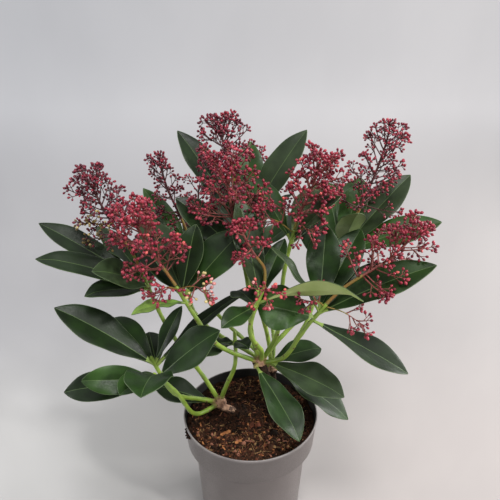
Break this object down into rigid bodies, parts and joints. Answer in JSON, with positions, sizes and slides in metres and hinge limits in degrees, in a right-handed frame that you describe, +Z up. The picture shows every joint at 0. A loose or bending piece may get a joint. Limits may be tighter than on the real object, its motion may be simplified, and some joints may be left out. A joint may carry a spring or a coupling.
{
  "type": "potted skimmia",
  "caption": "Evergreen shrub in a round plastic nursery pot: short woody bases, green stems, whorls of leathery leaves and heads of small red buds.",
  "frame": {"origin": "centre of the pot's flat underside", "axes": "+Z up along the pot's axis, -Y towards the side that faces the viewer in the picture, +X to its right"},
  "size_m": [0.3523, 0.2602, 0.4088],
  "materials": {
    "pot_plastic": "semi-matte",
    "peat": "matte",
    "bark": "matte",
    "green_stem": "satin",
    "leaf": "semi-gloss",
    "red_buds": "satin"
  },
  "bodies": {
    "root": {"pot": "pot_plastic", "soil": "peat", "woody_base_left": "bark", "woody_base_right": "bark", "woody_base_rear": "bark", "stem_low_front": "green_stem", "stem_low_left": "green_stem", "stem_left": "green_stem", "stem_centre": "green_stem", "stem_mid_left": "green_stem", "stem_back_left": "green_stem", "stem_top": "green_stem", "stem_top_front": "green_stem", "stem_upper_right": "green_stem", "stem_right": "green_stem", "stem_back_right": "green_stem", "stem_inner": "green_stem", "stem_rear_left": "green_stem", "stem_rear": "green_stem", "stem_rear_right": "green_stem", "flower_head_far_left": "red_buds", "flower_head_left": "red_buds", "flower_head_back_left": "red_buds", "flower_head_top": "red_buds", "flower_head_top_front": "red_buds", "flower_head_upper_right": "red_buds", "flower_head_back_right": "red_buds", "flower_head_right": "red_buds", "flower_head_centre": "red_buds", "flower_head_rear_left": "red_buds", "flower_head_rear": "red_buds", "flower_head_rear_right": "red_buds", "leaves_low_front": "leaf", "leaves_low_left": "leaf", "leaves_base_left": "leaf", "leaves_left": "leaf", "leaves_centre": "leaf", "leaves_mid_left": "leaf", "leaves_back_left": "leaf", "leaves_top": "leaf", "leaves_top_front": "leaf", "leaves_upper_right": "leaf", "leaves_right": "leaf", "leaves_back_right": "leaf", "leaves_low_right": "leaf", "leaves_base_right": "leaf", "leaves_inner": "leaf", "leaves_rear_left": "leaf", "leaves_rear": "leaf", "leaves_rear_right": "leaf"}
  },
  "joints": []
}
